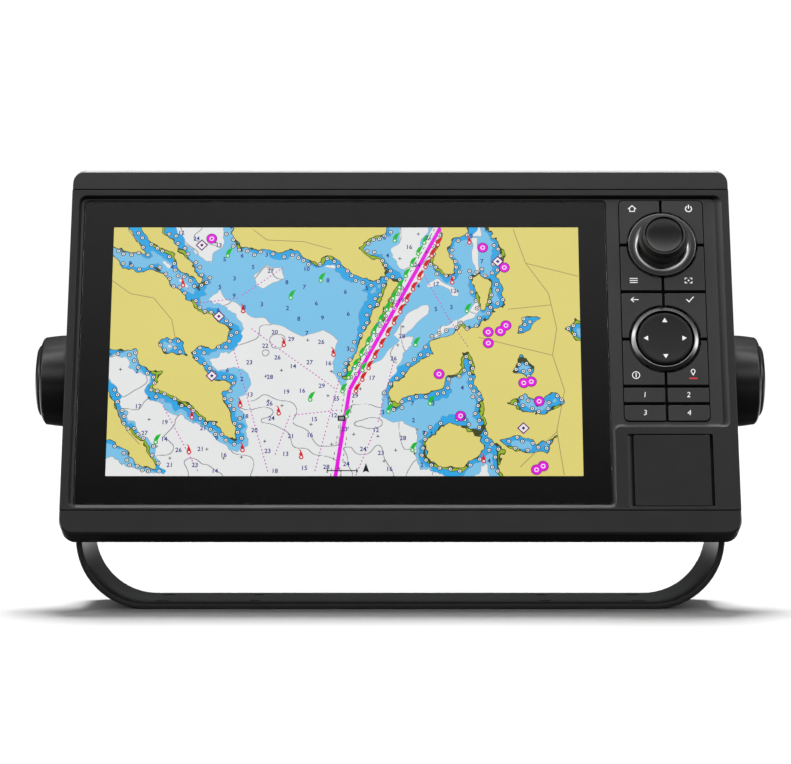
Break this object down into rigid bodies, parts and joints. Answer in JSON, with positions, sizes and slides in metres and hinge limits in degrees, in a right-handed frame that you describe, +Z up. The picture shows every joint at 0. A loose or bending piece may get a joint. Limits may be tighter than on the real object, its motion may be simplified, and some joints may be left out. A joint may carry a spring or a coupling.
{
  "type": "chartplotter display",
  "caption": "Wide marine display with keypad, rotary knob, direction pad and card door, leaning back on a U bracket with side clamp knobs.",
  "frame": {"origin": "middle of the underside of the bracket base, straight below the tilt axis", "axes": "+X to the right seen from the front, +Y away from the viewer, +Z up; the tilt axis is parallel to X"},
  "size_m": [0.3676, 0.1126, 0.2205],
  "materials": {
    "bezel": "satin moulded, fine grain",
    "trim": "satin moulded, fine grain",
    "key": "satin moulded with white printed legends",
    "pad": "satin moulded with white printed arrows",
    "door": "satin moulded, fine grain",
    "gloss_ring": "black chromed, polished",
    "knob_plastic": "satin moulded, soft touch",
    "knob_cap": "dished, polished",
    "cover_glass": "clear with a black printed border",
    "screen": "lit colour display",
    "backlight": "moulded light guide in a frame",
    "rubber": "moulded, matt",
    "circuit_board": "green solder mask",
    "sheet_metal": "pressed, plated",
    "steel": "stainless",
    "brass": "turned",
    "ceramic": "fired ceramic",
    "socket_plastic": "glass filled, moulded",
    "housing": "textured, moulded",
    "bracket": "black powder coat"
  },
  "bodies": {
    "bracket": {"mounting_bracket": "bracket", "friction_washer_left": "rubber", "friction_washer_right": "rubber"},
    "display": {"front_bezel": "bezel", "top_trim_cap": "trim", "bottom_trim_cap": "trim", "display_glass": "cover_glass", "glass_seal": "rubber", "lcd_panel": "screen", "lcd_backlight": "backlight", "keypad_membrane": "rubber", "keypad_board": "circuit_board", "knob_ring": "gloss_ring", "rotary_encoder": "sheet_metal", "pad_ring": "gloss_ring", "door_hinge_pin": "steel", "door_seal": "rubber", "card_reader": "socket_plastic", "rear_housing": "housing", "housing_gasket": "rubber", "main_board": "circuit_board", "gps_antenna": "ceramic", "power_socket": "socket_plastic", "network_socket_1": "socket_plastic", "network_socket_2": "socket_plastic", "data_socket": "socket_plastic", "sonar_socket": "socket_plastic", "video_socket": "socket_plastic", "vent_plug": "rubber", "housing_screw_1": "steel", "housing_screw_2": "steel", "housing_screw_3": "steel", "housing_screw_4": "steel", "housing_screw_5": "steel", "housing_screw_6": "steel", "pivot_insert_left": "brass", "pivot_insert_right": "brass"},
    "clamp_left": {"clamp_knob_left": "knob_plastic", "knob_stud_left": "steel"},
    "clamp_right": {"clamp_knob_right": "knob_plastic", "knob_stud_right": "steel"},
    "knob_shaft": {"encoder_shaft": "steel"},
    "knob": {"control_knob": "knob_plastic", "knob_cap": "knob_cap"},
    "pad_gimbal": {"pad_carrier": "socket_plastic"},
    "pad": {"direction_pad": "pad"},
    "door": {"card_door": "door"},
    "key_home_cap": {"key_home": "key"},
    "key_power_cap": {"key_power": "key"},
    "key_menu_cap": {"key_menu": "key"},
    "key_focus_cap": {"key_focus": "key"},
    "key_back_cap": {"key_back": "key"},
    "key_select_cap": {"key_select": "key"},
    "key_info_cap": {"key_info": "key"},
    "key_mark_cap": {"key_mark": "key"},
    "key_one_cap": {"key_one": "key"},
    "key_two_cap": {"key_two": "key"},
    "key_three_cap": {"key_three": "key"},
    "key_four_cap": {"key_four": "key"}
  },
  "joints": [
    {"name": "display_tilt", "type": "hinge", "parent": "bracket", "child": "display", "pos_m": [0, 0, 0.113], "axis": [-1, 0, 0], "range_deg": [-8, 50]},
    {"name": "clamp_left_turn", "type": "hinge", "parent": "display", "child": "clamp_left", "pos_m": [-0.175, 0, 0.113], "axis": [-1, 0, 0], "range_deg": [0, 360]},
    {"name": "clamp_right_turn", "type": "hinge", "parent": "display", "child": "clamp_right", "pos_m": [0.175, 0, 0.113], "axis": [1, 0, 0], "range_deg": [0, 360]},
    {"name": "knob_turn", "type": "hinge", "parent": "display", "child": "knob_shaft", "pos_m": [0.1316, -0.017, 0.18325], "axis": [0, 0.9397, -0.342], "continuous": true},
    {"name": "knob_press", "type": "slide", "parent": "knob_shaft", "child": "knob", "axis": [0, 0.9397, -0.342], "range_m": [0, 0.0008], "stiffness_N_per_m": 4000, "springref_m": -0.0002},
    {"name": "pad_rock_sideways", "type": "hinge", "parent": "display", "child": "pad_gimbal", "pos_m": [0.1316, -0.0244, 0.1322], "axis": [0, 0.342, 0.9397], "range_deg": [-2.5, 2.5], "stiffness_Nm_per_rad": 0.7},
    {"name": "pad_rock_upright", "type": "hinge", "parent": "pad_gimbal", "child": "pad", "pos_m": [0.1316, -0.0244, 0.1322], "axis": [1, 0, 0], "range_deg": [-2.5, 2.5], "stiffness_Nm_per_rad": 0.7},
    {"name": "card_door_swing", "type": "hinge", "parent": "display", "child": "door", "pos_m": [0.1506, -0.05292, 0.06905], "axis": [0, 0.342, 0.9397], "range_deg": [0, 110]},
    {"name": "key_home_press", "type": "slide", "parent": "display", "child": "key_home_cap", "axis": [0, 0.9397, -0.342], "range_m": [0, 0.0006], "stiffness_N_per_m": 2500, "springref_m": -0.0002},
    {"name": "key_power_press", "type": "slide", "parent": "display", "child": "key_power_cap", "axis": [0, 0.9397, -0.342], "range_m": [0, 0.0006], "stiffness_N_per_m": 2500, "springref_m": -0.0002},
    {"name": "key_menu_press", "type": "slide", "parent": "display", "child": "key_menu_cap", "axis": [0, 0.9397, -0.342], "range_m": [0, 0.0006], "stiffness_N_per_m": 2500, "springref_m": -0.0002},
    {"name": "key_focus_press", "type": "slide", "parent": "display", "child": "key_focus_cap", "axis": [0, 0.9397, -0.342], "range_m": [0, 0.0006], "stiffness_N_per_m": 2500, "springref_m": -0.0002},
    {"name": "key_back_press", "type": "slide", "parent": "display", "child": "key_back_cap", "axis": [0, 0.9397, -0.342], "range_m": [0, 0.0006], "stiffness_N_per_m": 2500, "springref_m": -0.0002},
    {"name": "key_select_press", "type": "slide", "parent": "display", "child": "key_select_cap", "axis": [0, 0.9397, -0.342], "range_m": [0, 0.0006], "stiffness_N_per_m": 2500, "springref_m": -0.0002},
    {"name": "key_info_press", "type": "slide", "parent": "display", "child": "key_info_cap", "axis": [0, 0.9397, -0.342], "range_m": [0, 0.0006], "stiffness_N_per_m": 2500, "springref_m": -0.0002},
    {"name": "key_mark_press", "type": "slide", "parent": "display", "child": "key_mark_cap", "axis": [0, 0.9397, -0.342], "range_m": [0, 0.0006], "stiffness_N_per_m": 2500, "springref_m": -0.0002},
    {"name": "key_one_press", "type": "slide", "parent": "display", "child": "key_one_cap", "axis": [0, 0.9397, -0.342], "range_m": [0, 0.0006], "stiffness_N_per_m": 2500, "springref_m": -0.0002},
    {"name": "key_two_press", "type": "slide", "parent": "display", "child": "key_two_cap", "axis": [0, 0.9397, -0.342], "range_m": [0, 0.0006], "stiffness_N_per_m": 2500, "springref_m": -0.0002},
    {"name": "key_three_press", "type": "slide", "parent": "display", "child": "key_three_cap", "axis": [0, 0.9397, -0.342], "range_m": [0, 0.0006], "stiffness_N_per_m": 2500, "springref_m": -0.0002},
    {"name": "key_four_press", "type": "slide", "parent": "display", "child": "key_four_cap", "axis": [0, 0.9397, -0.342], "range_m": [0, 0.0006], "stiffness_N_per_m": 2500, "springref_m": -0.0002}
  ]
}
